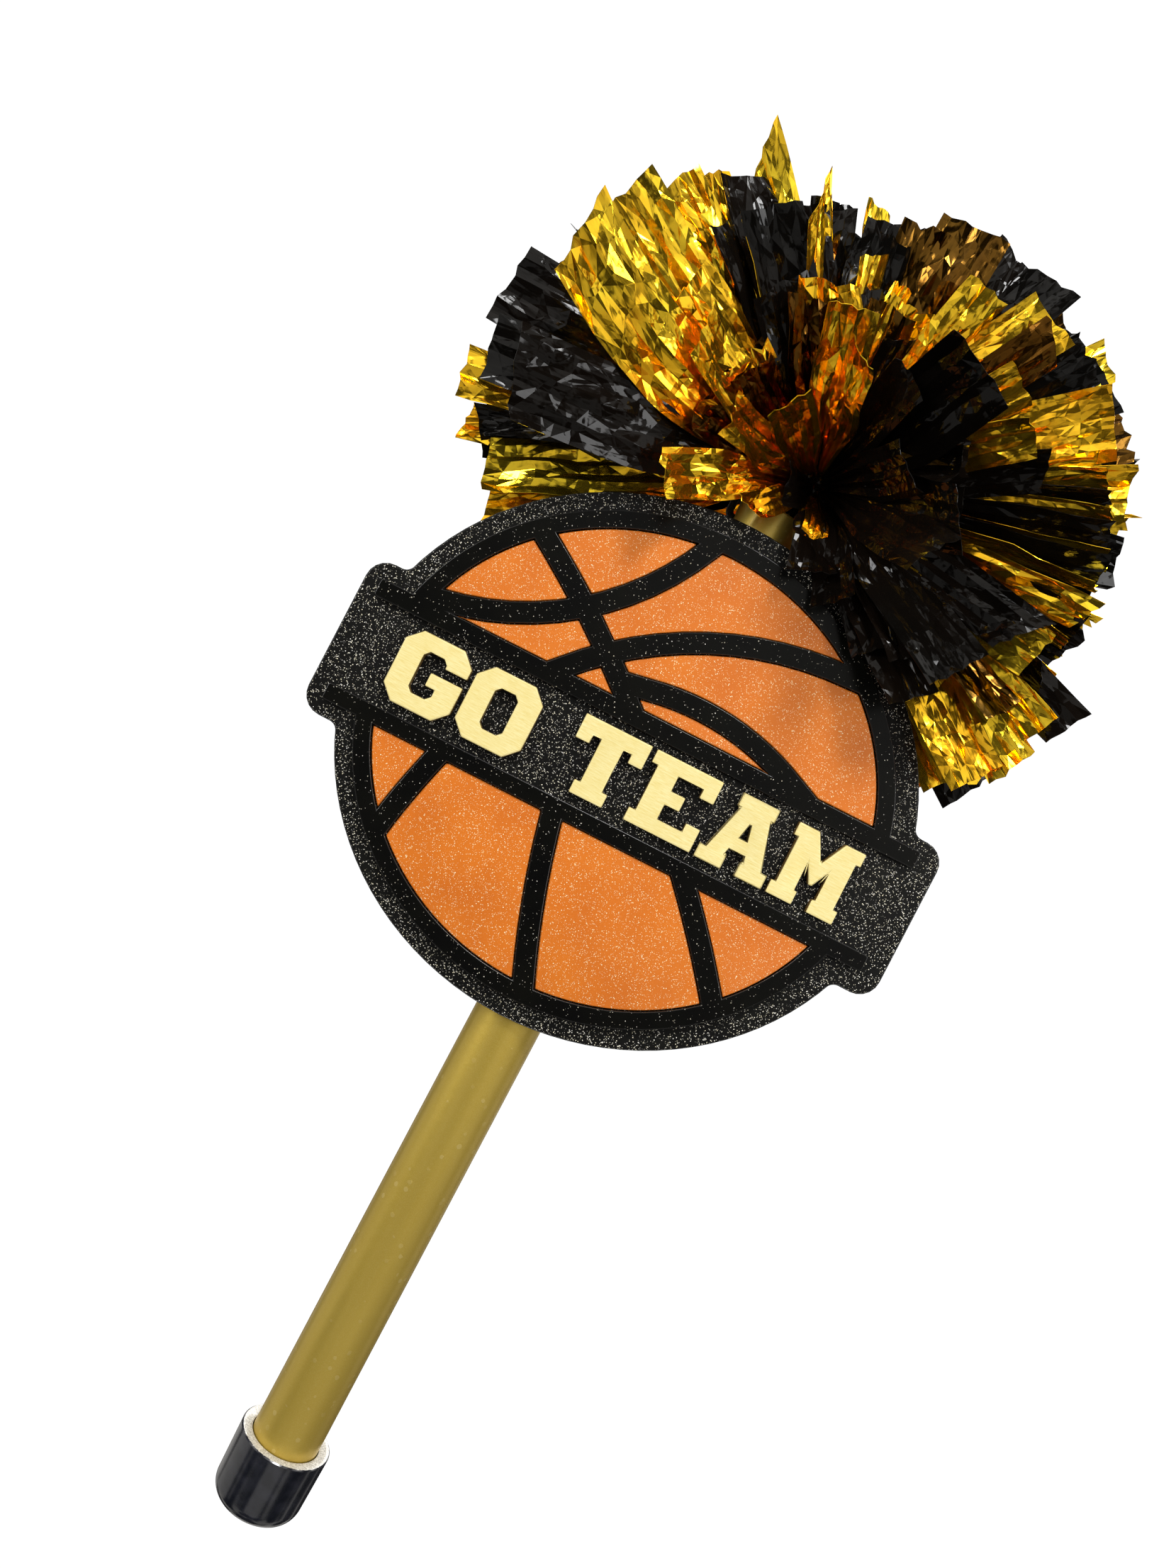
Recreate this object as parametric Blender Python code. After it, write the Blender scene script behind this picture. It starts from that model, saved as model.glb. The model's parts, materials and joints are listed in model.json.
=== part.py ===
"""A spirit stick: a basketball sign and a foil pom pom on a painted tube.

The tube stands along +Z with its axis on the origin, and the sign faces -Y. The origin is the
centre of the end cap's flat face. Lengths are in metres; MM turns millimetres into metres.
"""
import math

import bmesh
import bpy
from mathutils import Vector

MM = 0.001
GAP = 0.3 * MM                      # clearance left between pieces that touch
CUT_REACH = 4.0 * MM                # how far a cutter runs past what it cuts

# Handle
TUBE_RADIUS = 10.67 * MM            # half-inch schedule 40 pipe
TUBE_BORE_RADIUS = 7.9 * MM
TUBE_TOP = 336.0 * MM
CAP_RIM_RADIUS = 14.4 * MM
CAP_END_RADIUS = 13.9 * MM
CAP_ROUNDING = 5.0 * MM
CAP_LENGTH = 22.0 * MM
SOCKET_DEPTH = 17.5 * MM
SOCKET_RADIUS = TUBE_RADIUS + GAP
SOCKET_CHAMFER = 0.5 * MM
TUBE_BOTTOM = CAP_LENGTH - SOCKET_DEPTH + GAP

# Tie: a loop through two cross holes in the tube, and round the middle of the pom
TIE_RADIUS = 1.2 * MM
TIE_HEIGHT = 330.0 * MM
TIE_HOLE_RADIUS = 2.2 * MM
TIE_LEG = TUBE_RADIUS + TIE_RADIUS + 0.7 * MM

# Sign, in layers from back to front
SIGN_CENTRE = Vector((-4.4 * MM, 0.0, 247.0 * MM))
SIGN_TILT = math.radians(0.93)      # the right end stands higher
PLATE_SKEW = math.radians(-0.6)     # the back plate is a touch out of square with the frames
PLATE_BACK = -(TUBE_RADIUS + GAP)
PLATE_THICKNESS = 2.4 * MM
LAYER_BACK = PLATE_BACK - PLATE_THICKNESS - GAP
FRAME_THICKNESS = 2.0 * MM
PANEL_THICKNESS = 1.3 * MM
LETTER_THICKNESS = 3.0 * MM
EDGE_BEVEL = 0.25 * MM

PLATE_SEMI_AXES = (86.6 * MM, 80.0 * MM)
PLATE_SHIFT = 0.9 * MM
TAB_HALF_WIDTH = 93.8 * MM
TAB_TOP = 22.2 * MM
TAB_BOTTOM = -26.9 * MM
TAB_CORNER = 6.5 * MM
TAB_FILLET = 3.0 * MM

RING_OUTER = (79.8 * MM, 74.0 * MM)
RING_INNER = (74.6 * MM, 68.8 * MM)
RAIL_HALF_WIDTH = 87.5 * MM
RAIL_CORNER = 0.8 * MM
UPPER_RAIL = (12.3 * MM, 17.7 * MM)
LOWER_RAIL = (-21.1 * MM, -16.0 * MM)
SEAM_WIDTH = 6.2 * MM
SEAM_OVERSHOOT = 8.0 * MM

# Each seam is an arc through three points (across, up) on the sign, in millimetres
UPPER_SEAMS = (
    ((-50.4, 49.7), (-28.5, 34.8), (-8.5, 18.6)),
    ((-70.0, 19.7), (-28.7, 39.1), (-6.6, 68.5)),
    ((-29.6, 18.0), (5.6, 43.9), (47.0, 53.4)),
    ((-4.0, 23.8), (12.0, 25.5), (45.5, 18.0)),
)
LOWER_SEAMS = (
    ((-50.2, -21.4), (-54.0, -36.0), (-56.2, -47.0)),
    ((-12.7, -21.4), (-7.2, -42.5), (2.0, -68.3)),
    ((30.8, -21.8), (42.9, -35.6), (53.4, -48.9)),
)

# Letters
LETTER_HEIGHT = 22.7
LETTER_WIDTH = 21.5
LETTER_BASE = -12.9
WORDS = ("GO", "TEAM")
LETTER_SPACING = 1.5
WORD_SPACING = 12.0

# Glue beads that hold the sign to the tube
GLUE_BOTTOM = 178.0 * MM
GLUE_TOP = 318.0 * MM
GLUE_INNER = 4.2 * MM
GLUE_OUTER = 9.4 * MM

# Pom
KNOT = Vector((7.0 * MM, 0.0, 350.0 * MM))
CORE_RADIUS = 11.0 * MM
TUFT_START = 16.0 * MM
TUFT_SPREAD_STEPS = 2
POINTING_OPENING = math.radians(18)

# Each ring's tufts: colour, first and last angle around the knot, length in millimetres
MIDDLE_TUFTS = (
    ("black", -21, -5, 98), ("gold", -3, 13, 94), ("black", 15, 30, 92), ("gold", 32, 48, 94),
    ("gold", 50, 65, 92), ("black", 67, 83, 96), ("gold", 85, 99, 94), ("black", 101, 112, 88),
    ("black", 114, 128, 88), ("gold", 130, 146, 96), ("gold", 148, 164, 104),
    ("black", 166, 184, 108),
)
FRONT_TUFTS = (
    ("black", -28, 8, 92), ("black", 10, 46, 84), ("black", 48, 82, 76), ("gold", 84, 116, 74),
    ("gold", 118, 172, 100), ("black", 174, 206, 98),
)
BACK_TUFTS = (
    ("gold", -16, 28, 92), ("black", 30, 74, 92), ("gold", 76, 120, 92), ("black", 122, 166, 92),
    ("gold", 168, 212, 92),
)


def clear_scene():
    for item in list(bpy.data.objects):
        bpy.data.objects.remove(item, do_unlink=True)


def make_material(name, colour, roughness, metallic=0.0):
    material = bpy.data.materials.new(name)
    material.use_nodes = True
    shader = material.node_tree.nodes["Principled BSDF"]
    shader.inputs["Base Color"].default_value = (*colour, 1.0)
    shader.inputs["Roughness"].default_value = roughness
    shader.inputs["Metallic"].default_value = metallic
    return material


FINISHES = {
    "gold_paint": ((0.42, 0.29, 0.06), 0.35, 0.8),
    "black_gloss": ((0.012, 0.013, 0.018), 0.15, 0.0),
    "black_glitter": ((0.012, 0.012, 0.012), 0.45, 0.0),
    "black_satin": ((0.01, 0.01, 0.01), 0.35, 0.0),
    "orange_glitter": ((0.74, 0.22, 0.03), 0.45, 0.0),
    "pale_gold": ((0.86, 0.76, 0.40), 0.35, 0.6),
    "clear_glue": ((0.75, 0.74, 0.68), 0.25, 0.0),
    "gold_foil": ((0.85, 0.55, 0.05), 0.2, 1.0),
    "black_foil": ((0.015, 0.013, 0.011), 0.25, 0.6),
}


def add_object(name, data, finish, parent=None):
    """Link an object, with a material of its own."""
    item = bpy.data.objects.new(name, data)
    bpy.context.scene.collection.objects.link(item)
    item.parent = parent
    if finish:
        data.materials.append(make_material(name, *FINISHES[finish]))
    return item


def add_empty(name, location, tilt=0.0, parent=None):
    empty = add_object(name, None, None, parent)
    empty.location = location
    empty.rotation_euler = (0.0, -tilt, 0.0)
    return empty


def mesh_from(name, form):
    """Turn a closed bmesh into a mesh with its faces pointing out."""
    bmesh.ops.recalc_face_normals(form, faces=form.faces)
    mesh = bpy.data.meshes.new(name)
    form.to_mesh(mesh)
    form.free()
    return mesh


def smooth(mesh, angle=40.0):
    mesh.shade_smooth()
    mesh.set_sharp_from_angle(angle=math.radians(angle))


def in_metres(points):
    return [tuple(value * MM for value in point) for point in points]


def slab(name, outline, back, thickness, finish=None, parent=None):
    """A flat plate: an outline in the sign's plane, from its back face towards -Y."""
    form = bmesh.new()
    corners = [form.verts.new((across, back, up)) for across, up in outline]
    face = form.faces.new(corners)
    grown = bmesh.ops.extrude_face_region(form, geom=[face])["geom"]
    moved = [part for part in grown if isinstance(part, bmesh.types.BMVert)]
    bmesh.ops.translate(form, verts=moved, vec=(0.0, -thickness, 0.0))
    return add_object(name, mesh_from(name, form), finish, parent)


def turned(name, profile, steps, finish, parent=None):
    """A round piece: a closed profile of (radius, height) points, spun about Z."""
    form = bmesh.new()
    points = [form.verts.new((radius, 0.0, height)) for radius, height in profile]
    edges = [form.edges.new((a, b)) for a, b in zip(points, points[1:] + points[:1])
             if a.co.x > 0 or b.co.x > 0]
    bmesh.ops.spin(form, geom=points + edges, cent=(0, 0, 0), axis=(0, 0, 1),
                   angle=math.tau, steps=steps, use_merge=True)
    bmesh.ops.remove_doubles(form, verts=form.verts, dist=0.01 * MM)
    mesh = mesh_from(name, form)
    smooth(mesh)
    return add_object(name, mesh, finish, parent)


def cut(target, cutter, operation="DIFFERENCE"):
    """Combine a helper solid with a piece, and keep the helper out of the model."""
    modifier = target.modifiers.new(operation.title(), "BOOLEAN")
    modifier.operation = operation
    modifier.object = cutter
    cutter.hide_render = True
    cutter.display_type = "WIRE"


def bevel_edges(item, width=EDGE_BEVEL):
    modifier = item.modifiers.new("Bevel", "BEVEL")
    modifier.width = width
    modifier.segments = 1
    modifier.limit_method = "ANGLE"
    modifier.angle_limit = math.radians(40)


def rounded(corners, steps=5):
    """An outline from (across, up, radius) corners; a corner's arc turns over its radius."""
    outline = []
    count = len(corners)
    for index, (x, y, radius) in enumerate(corners):
        corner = Vector((x, y))
        if radius == 0:
            outline.append((x, y))
            continue
        before = (Vector(corners[index - 1][:2]) - corner).normalized()
        after = (Vector(corners[(index + 1) % count][:2]) - corner).normalized()
        half = before.angle(after) / 2
        centre = corner + (before + after).normalized() * (radius / math.sin(half))
        start = corner + before * (radius / math.tan(half)) - centre
        end = corner + after * (radius / math.tan(half)) - centre
        turn = start.angle_signed(end)
        for step in range(steps + 1):
            angle = -turn * step / steps
            arm = Vector((start.x * math.cos(angle) - start.y * math.sin(angle),
                          start.x * math.sin(angle) + start.y * math.cos(angle)))
            outline.append(tuple(centre + arm))
    return outline


def ellipse(semi_axes, start=0.0, end=math.tau, steps=72, centre=0.0):
    """Points along an ellipse, from one angle to another, both ends included."""
    across, up = semi_axes
    angles = [start + (end - start) * step / steps for step in range(steps + 1)]
    return [(centre + across * math.cos(a), up * math.sin(a)) for a in angles]


def half_ellipse(semi_axes, level, steps=48):
    """The part of an ellipse that lies beyond a level line, above it or below it."""
    up = semi_axes[1]
    angle = math.asin(level / up)
    if level > 0:
        return ellipse(semi_axes, angle, math.pi - angle, steps)
    return ellipse(semi_axes, math.pi - angle, math.tau + angle, steps)


def arc_points(first, middle, last, steps):
    """Points on the circle through three points, with a straight run past each end."""
    a, b, c = (Vector(point) for point in in_metres((first, middle, last)))
    turn = 2 * ((a.x - c.x) * (b.y - c.y) - (b.x - c.x) * (a.y - c.y))
    squares = [point.length_squared for point in (a, b, c)]
    centre = Vector((
        (squares[0] * (b.y - c.y) + squares[1] * (c.y - a.y) + squares[2] * (a.y - b.y)) / turn,
        (squares[0] * (c.x - b.x) + squares[1] * (a.x - c.x) + squares[2] * (b.x - a.x)) / turn))
    radius = (a - centre).length
    start = math.atan2(a.y - centre.y, a.x - centre.x)
    sweep = (a - centre).angle_signed(c - centre) * -1
    points = []
    for step in range(steps + 1):
        angle = start + sweep * step / steps
        points.append(centre + radius * Vector((math.cos(angle), math.sin(angle))))
    lead_in = (points[0] - points[1]).normalized() * SEAM_OVERSHOOT
    lead_out = (points[-1] - points[-2]).normalized() * SEAM_OVERSHOOT
    return [points[0] + lead_in] + points + [points[-1] + lead_out]


def band(centre_line, width):
    """The outline of a strip of even width along a centre line."""
    left, right = [], []
    for index, point in enumerate(centre_line):
        before = centre_line[max(index - 1, 0)]
        after = centre_line[min(index + 1, len(centre_line) - 1)]
        along = (after - before).normalized()
        side = Vector((-along.y, along.x)) * (width / 2)
        left.append(tuple(point + side))
        right.append(tuple(point - side))
    return left + right[::-1]


def divided_face(name, level, seams, margin, back, thickness, parent):
    """The ball's face beyond one rail, divided by its seams; margin shrinks every part of it."""
    semi_axes = (RING_INNER[0] - margin, RING_INNER[1] - margin)
    edge = level + math.copysign(margin, level)
    blank = slab(name, half_ellipse(semi_axes, edge), back, thickness, None, parent)
    for index, seam in enumerate(seams):
        outline = band(arc_points(*seam, steps=12), SEAM_WIDTH + 2 * margin)
        strip = slab(f"{name}_seam_{index}", outline, back + CUT_REACH, thickness + 2 * CUT_REACH,
                     None, parent)
        cut(blank, strip)
    return blank


def evaluated_form(item):
    """The shape of an object after its modifiers, as a bmesh in its own space."""
    bpy.context.view_layer.update()
    graph = bpy.context.evaluated_depsgraph_get()
    form = bmesh.new()
    form.from_mesh(item.evaluated_get(graph).to_mesh())
    return form


def separate_islands(form):
    """The vertex sets of a bmesh's unconnected bodies."""
    waiting = set(form.verts)
    islands = []
    while waiting:
        island, front = set(), [waiting.pop()]
        while front:
            vert = front.pop()
            island.add(vert)
            for edge in vert.link_edges:
                other = edge.other_vert(vert)
                if other in waiting:
                    waiting.remove(other)
                    front.append(other)
        islands.append(island)
    return islands


def build_panels(blank, first_number, parent):
    """Turn each body of the divided ball face into an inlay panel of its own."""
    whole = evaluated_form(blank)
    blank.hide_render = True
    blank.display_type = "WIRE"
    islands = separate_islands(whole)
    islands.sort(key=lambda island: min(vert.co.x for vert in island))
    for offset, island in enumerate(islands):
        form = bmesh.new()
        copies = {vert: form.verts.new(vert.co) for vert in island}
        for face in whole.faces:
            if face.verts[0] in island:
                form.faces.new([copies[vert] for vert in face.verts])
        name = f"panel_{first_number + offset:02d}"
        panel = add_object(name, mesh_from(name, form), "orange_glitter", parent)
        bevel_edges(panel)
    whole.free()
    return len(islands)


def build_frame(name, rail, level, seams, parent):
    """One half of the raised black frame: a ring arc, a rail and the seams between them."""
    low, high = rail
    start = low if level > 0 else high
    outline = half_ellipse(RING_OUTER, start)
    frame = slab(name, outline, LAYER_BACK, FRAME_THICKNESS, "black_satin", parent)
    reach = RAIL_HALF_WIDTH
    corners = [(-reach, low, RAIL_CORNER), (reach, low, RAIL_CORNER),
               (reach, high, RAIL_CORNER), (-reach, high, RAIL_CORNER)]
    bar = slab(f"{name}_rail", rounded(corners, 2), LAYER_BACK, FRAME_THICKNESS, None, parent)
    cut(frame, bar, "UNION")
    cut(frame, divided_face(f"{name}_openings", level, seams, 0.0, LAYER_BACK + CUT_REACH,
                            FRAME_THICKNESS + 2 * CUT_REACH, parent))



def plate_outline():
    """An ellipse with a rounded tab on each side, for the banner."""
    across, up = PLATE_SEMI_AXES
    top = math.asin(TAB_TOP / up)
    bottom = math.asin(TAB_BOTTOM / up)
    dome = ellipse(PLATE_SEMI_AXES, top, math.pi - top, 40, PLATE_SHIFT)
    bowl = ellipse(PLATE_SEMI_AXES, math.pi - bottom, math.tau + bottom, 40, PLATE_SHIFT)
    right, left = PLATE_SHIFT + TAB_HALF_WIDTH, PLATE_SHIFT - TAB_HALF_WIDTH

    def curve(points):
        inner = [(x, y, 0.0) for x, y in points[1:-1]]
        return [(*points[0], TAB_FILLET)] + inner + [(*points[-1], TAB_FILLET)]

    tab_left = [(left, TAB_TOP, TAB_CORNER), (left, TAB_BOTTOM, TAB_CORNER)]
    tab_right = [(right, TAB_BOTTOM, TAB_CORNER), (right, TAB_TOP, TAB_CORNER)]
    return rounded(curve(dome) + tab_left + curve(bowl) + tab_right)


def octagon(left, bottom, right, top, chamfer):
    return [(left + chamfer, bottom), (right - chamfer, bottom), (right, bottom + chamfer),
            (right, top - chamfer), (right - chamfer, top), (left + chamfer, top),
            (left, top - chamfer), (left, bottom + chamfer)]


def mirrored(half, width):
    """Complete an outline that is symmetric about its letter's middle."""
    return half + [(width - x, y) for x, y in reversed(half)]


def letter_outlines():
    """Outer and inner outline of each block letter, in millimetres from its lower left."""
    w, h = LETTER_WIDTH, LETTER_HEIGHT
    chamfer, stem, bar, serif = 4.2, 7.2, 5.0, 4.2
    letter_g = [(chamfer, 0), (w - chamfer, 0), (w, chamfer), (w, 12.6), (11.2, 12.6),
                (11.2, 8.4), (w - stem, 8.4), (w - stem, 6.4), (w - stem - 1.4, bar),
                (stem + 1.4, bar), (stem, 6.4), (stem, h - 6.4), (stem + 1.4, h - bar),
                (w - stem - 1.4, h - bar), (w - stem, h - 6.4), (w - stem, 15.2),
                (w, 15.2), (w, h - chamfer), (w - chamfer, h), (chamfer, h),
                (0, h - chamfer), (0, chamfer)]
    letter_t = mirrored([(w / 2, h), (0, h), (0, 15.0), (4.6, 15.0), (4.6, h - bar),
                         (w / 2 - 3.6, h - bar), (w / 2 - 3.6, serif), (5.4, serif), (5.4, 0)], w)
    letter_e = [(0, 0), (w, 0), (w, 7.3), (w - 4.6, 7.3), (w - 4.6, 4.6), (9.0, 4.6),
                (9.0, 9.1), (13.6, 9.1), (13.6, 13.6), (9.0, 13.6), (9.0, h - 4.6),
                (w - 4.6, h - 4.6), (w - 4.6, h - 7.3), (w, h - 7.3), (w, h), (0, h),
                (0, h - serif), (2.0, h - serif), (2.0, serif), (0, serif)]
    letter_a = mirrored([(w / 2, h), (5.0, h), (5.0, h - 4.0), (6.0, h - 4.0), (1.9, serif),
                         (0, serif), (0, 0), (8.4, 0), (8.4, serif), (7.6, serif), (8.2, 6.4)], w)
    letter_m = mirrored([(w / 2, 14.6), (6.6, h), (0, h), (0, h - serif), (1.4, h - serif),
                         (1.4, serif), (0, serif), (0, 0), (8.4, 0), (8.4, serif),
                         (7.4, serif), (7.4, 13.0), (w / 2 - 0.6, 7.4)], w)
    hole_o = octagon(stem, bar, w - stem, h - bar, 1.4)
    hole_a = [(9.4, 10.4), (w - 9.4, 10.4), (w / 2 + 0.3, 15.2), (w / 2 - 0.3, 15.2)]
    return {"G": (letter_g, None), "O": (octagon(0, 0, w, h, chamfer), hole_o),
            "T": (letter_t, None), "E": (letter_e, None), "A": (letter_a, hole_a),
            "M": (letter_m, None)}


def drop_repeats(outline):
    """Remove points that fall on the one before them."""
    return [point for index, point in enumerate(outline)
            if math.dist(point, outline[index - 1]) > 0.01]


def build_letters(parent):
    outlines = letter_outlines()
    letters = sum(len(word) for word in WORDS)
    inside_words = letters - len(WORDS)
    breaks = len(WORDS) - 1
    total = letters * LETTER_WIDTH + inside_words * LETTER_SPACING + breaks * WORD_SPACING
    place = -total / 2
    for word in WORDS:
        for character in word:
            outer, inner = outlines[character]
            name = f"letter_{character.lower()}"
            at = [(x + place, y + LETTER_BASE) for x, y in drop_repeats(outer)]
            letter = slab(name, in_metres(at), LAYER_BACK, LETTER_THICKNESS, "pale_gold", parent)
            if inner:
                at = [(x + place, y + LETTER_BASE) for x, y in inner]
                hole = slab(f"{name}_hole", in_metres(at), LAYER_BACK + CUT_REACH,
                            LETTER_THICKNESS + 2 * CUT_REACH, None, parent)
                cut(letter, hole)
            bevel_edges(letter)
            place += LETTER_WIDTH + LETTER_SPACING
        place += WORD_SPACING - LETTER_SPACING


def build_sign():
    sign = add_empty("sign", SIGN_CENTRE, SIGN_TILT)
    plate = slab("sign_back_plate", plate_outline(), PLATE_BACK, PLATE_THICKNESS,
                 "black_glitter", sign)
    plate.rotation_euler = (0.0, -PLATE_SKEW, 0.0)
    bevel_edges(plate, 0.4 * MM)
    build_frame("upper_frame", UPPER_RAIL, UPPER_RAIL[1], UPPER_SEAMS, sign)
    build_frame("lower_frame", LOWER_RAIL, LOWER_RAIL[0], LOWER_SEAMS, sign)
    upper = divided_face("upper_panels", UPPER_RAIL[1], UPPER_SEAMS, GAP, LAYER_BACK,
                         PANEL_THICKNESS, sign)
    lower = divided_face("lower_panels", LOWER_RAIL[0], LOWER_SEAMS, GAP, LAYER_BACK,
                         PANEL_THICKNESS, sign)
    made = build_panels(upper, 1, sign)
    build_panels(lower, made + 1, sign)
    build_letters(sign)


def build_tube():
    profile = [(TUBE_RADIUS, TUBE_BOTTOM), (TUBE_RADIUS, TUBE_TOP),
               (TUBE_BORE_RADIUS, TUBE_TOP), (TUBE_BORE_RADIUS, TUBE_BOTTOM)]
    tube = turned("handle_tube", profile, 48, "gold_paint")
    drill = bmesh.new()
    bmesh.ops.create_cone(drill, cap_ends=True, segments=16, radius1=TIE_HOLE_RADIUS,
                          radius2=TIE_HOLE_RADIUS, depth=3 * TUBE_RADIUS)
    cutter = add_object("tie_hole_cutter", mesh_from("tie_hole_cutter", drill), None)
    cutter.location = (0.0, 0.0, TIE_HEIGHT)
    cutter.rotation_euler = (0.0, math.radians(90), 0.0)
    cut(tube, cutter)


def build_cap():
    """A slip cap: a cup whose socket takes the tube, with a well rounded closed end."""
    flat = CAP_END_RADIUS - CAP_ROUNDING
    corner = [(flat + CAP_ROUNDING * math.sin(a), CAP_ROUNDING * (1 - math.cos(a)))
              for a in (math.radians(15 * step) for step in range(7))]
    floor = CAP_LENGTH - SOCKET_DEPTH
    mouth = SOCKET_RADIUS + SOCKET_CHAMFER
    profile = ([(0.0, 0.0)] + corner
               + [(CAP_RIM_RADIUS, CAP_LENGTH - SOCKET_CHAMFER),
                  (CAP_RIM_RADIUS - SOCKET_CHAMFER, CAP_LENGTH), (mouth, CAP_LENGTH),
                  (SOCKET_RADIUS, CAP_LENGTH - SOCKET_CHAMFER), (SOCKET_RADIUS, floor),
                  (0.0, floor)])
    turned("end_cap", profile, 48, "black_gloss")


def build_glue():
    """Two beads that fill the corners between the round tube and the flat plate."""
    reach = TUBE_RADIUS + GAP
    front = PLATE_BACK + GAP
    inner = math.asin(GLUE_INNER / reach)
    outer = math.radians(47)
    for side, name in ((-1, "glue_bead_left"), (1, "glue_bead_right")):
        angles = [inner + (outer - inner) * step / 5 for step in range(6)]
        section = [(reach * math.sin(a), -reach * math.cos(a)) for a in angles]
        section += [(GLUE_OUTER, front), (GLUE_INNER, front)]
        form = bmesh.new()
        corners = [form.verts.new((side * x, y, GLUE_BOTTOM)) for x, y in section]
        face = form.faces.new(corners)
        grown = bmesh.ops.extrude_face_region(form, geom=[face])["geom"]
        moved = [part for part in grown if isinstance(part, bmesh.types.BMVert)]
        bmesh.ops.translate(form, verts=moved, vec=(0.0, 0.0, GLUE_TOP - GLUE_BOTTOM))
        add_object(name, mesh_from(name, form), "clear_glue")


def build_tie():
    """A closed loop of round cord, through the tube's cross holes and round the pom's middle."""
    around = CORE_RADIUS + TIE_RADIUS + GAP
    low = TUBE_TOP - TIE_HEIGHT + TIE_RADIUS
    right, left = KNOT.x + around + 0.6 * MM, KNOT.x - around
    knot_height = KNOT.z - TIE_HEIGHT
    corners = [(-TIE_LEG, 0.0, 2 * MM), (TIE_LEG, 0.0, 2 * MM), (TIE_LEG, low, 1.5 * MM),
               (right, knot_height - 7 * MM, 3 * MM), (right, knot_height + around, 10 * MM),
               (left, knot_height + around, 10 * MM), (left, knot_height - 5 * MM, 3 * MM),
               (-TIE_LEG, low + 1 * MM, 3 * MM)]
    path = rounded(corners, 4)
    curve = bpy.data.curves.new("pom_tie", "CURVE")
    curve.dimensions = "3D"
    curve.bevel_depth = TIE_RADIUS
    curve.bevel_resolution = 2
    spline = curve.splines.new("POLY")
    spline.points.add(len(path) - 1)
    for point, (across, up) in zip(spline.points, path):
        point.co = (across, 0.0, up, 1.0)
    spline.use_cyclic_u = True
    tie = add_object("pom_tie", curve, "black_foil")
    tie.location = (0.0, 0.0, TIE_HEIGHT)


def build_core(pom):
    form = bmesh.new()
    bmesh.ops.create_icosphere(form, subdivisions=2, radius=CORE_RADIUS)
    mesh = mesh_from("pom_core", form)
    smooth(mesh)
    add_object("pom_core", mesh, "black_foil", pom)


def direction(around, lean):
    """A unit vector: around is the angle from +X towards +Z, lean the angle towards +Y."""
    around, lean = math.radians(around), math.radians(lean)
    return Vector((math.cos(around) * math.cos(lean), math.sin(lean),
                   math.sin(around) * math.cos(lean)))


def build_tuft(name, finish, pom, around, lean, length, start=TUFT_START):
    """A bunch of strips: a wedge between two angles around and two angles of lean."""
    form = bmesh.new()
    rings = []
    for reach in (start, length):
        ring = []
        for step in range(TUFT_SPREAD_STEPS + 1):
            angle = around[0] + (around[1] - around[0]) * step / TUFT_SPREAD_STEPS
            ring.append(form.verts.new(direction(angle, lean[0]) * reach))
        for step in reversed(range(TUFT_SPREAD_STEPS + 1)):
            angle = around[0] + (around[1] - around[0]) * step / TUFT_SPREAD_STEPS
            ring.append(form.verts.new(direction(angle, lean[1]) * reach))
        rings.append(ring)
    near, far = rings
    form.faces.new(near)
    form.faces.new(far)
    for a, b in zip(range(len(near)), [*range(1, len(near)), 0]):
        form.faces.new((near[a], near[b], far[b], far[a]))
    add_object(name, mesh_from(name, form), finish, pom)


def build_pointing_tuft(name, finish, pom, side, length):
    """The bunch that points straight at the front or straight to the back."""
    form = bmesh.new()
    spread = math.tan(POINTING_OPENING)
    bmesh.ops.create_cone(form, cap_ends=True, segments=10, radius1=TUFT_START * spread,
                          radius2=length * spread, depth=length - TUFT_START)
    item = add_object(name, mesh_from(name, form), finish, pom)
    item.rotation_euler = (-side * math.radians(90), 0.0, 0.0)
    item.location = (0.0, side * (length + TUFT_START) / 2, 0.0)


def build_ring(name, tufts, lean, pom):
    """Tufts side by side round the knot, all with the same lean."""
    for index, (colour, low, high, length) in enumerate(tufts):
        build_tuft(f"{name}_{index + 1:02d}", f"{colour}_foil", pom, (low, high), lean, length * MM)


def build_pom():
    """The core, and bunches of strips: colour, angles around the knot, lean and length."""
    pom = add_empty("pom", KNOT)
    build_core(pom)
    build_ring("tuft_middle", MIDDLE_TUFTS, (-7.0, 7.0), pom)
    build_ring("tuft_front", FRONT_TUFTS, (-42.0, -27.0), pom)
    build_ring("tuft_back", BACK_TUFTS, (24.0, 40.0), pom)
    build_tuft("long_strip", "gold_foil", pom, (117.0, 127.0), (-12.0, -9.5), 114 * MM)
    build_tuft("tuft_low_left", "gold_foil", pom, (187.0, 208.0), (-2.0, 11.0), 106 * MM, 27 * MM)
    build_tuft("tuft_low_right", "gold_foil", pom, (-41.0, -23.0), (0.0, 12.0), 102 * MM)
    build_tuft("tuft_lowest_right", "black_foil", pom, (-60.0, -43.0), (8.0, 22.0), 100 * MM)
    build_tuft("tuft_over_sign", "black_foil", pom, (-58.0, -30.0), (-54.0, -36.0), 78 * MM)
    build_tuft("tuft_under_left", "black_foil", pom, (214.0, 262.0), (43.0, 58.0), 84 * MM)
    build_tuft("tuft_under_right", "gold_foil", pom, (264.0, 312.0), (43.0, 58.0), 84 * MM)
    build_pointing_tuft("tuft_facing", "black_foil", pom, -1, 74 * MM)
    build_pointing_tuft("tuft_rear", "gold_foil", pom, 1, 78 * MM)


def build_model():
    clear_scene()
    build_tube()
    build_cap()
    build_glue()
    build_sign()
    build_tie()
    build_pom()


build_model()
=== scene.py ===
import json
import math

import bmesh
import bpy
import numpy as np
from mathutils import Matrix, Vector, noise


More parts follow.
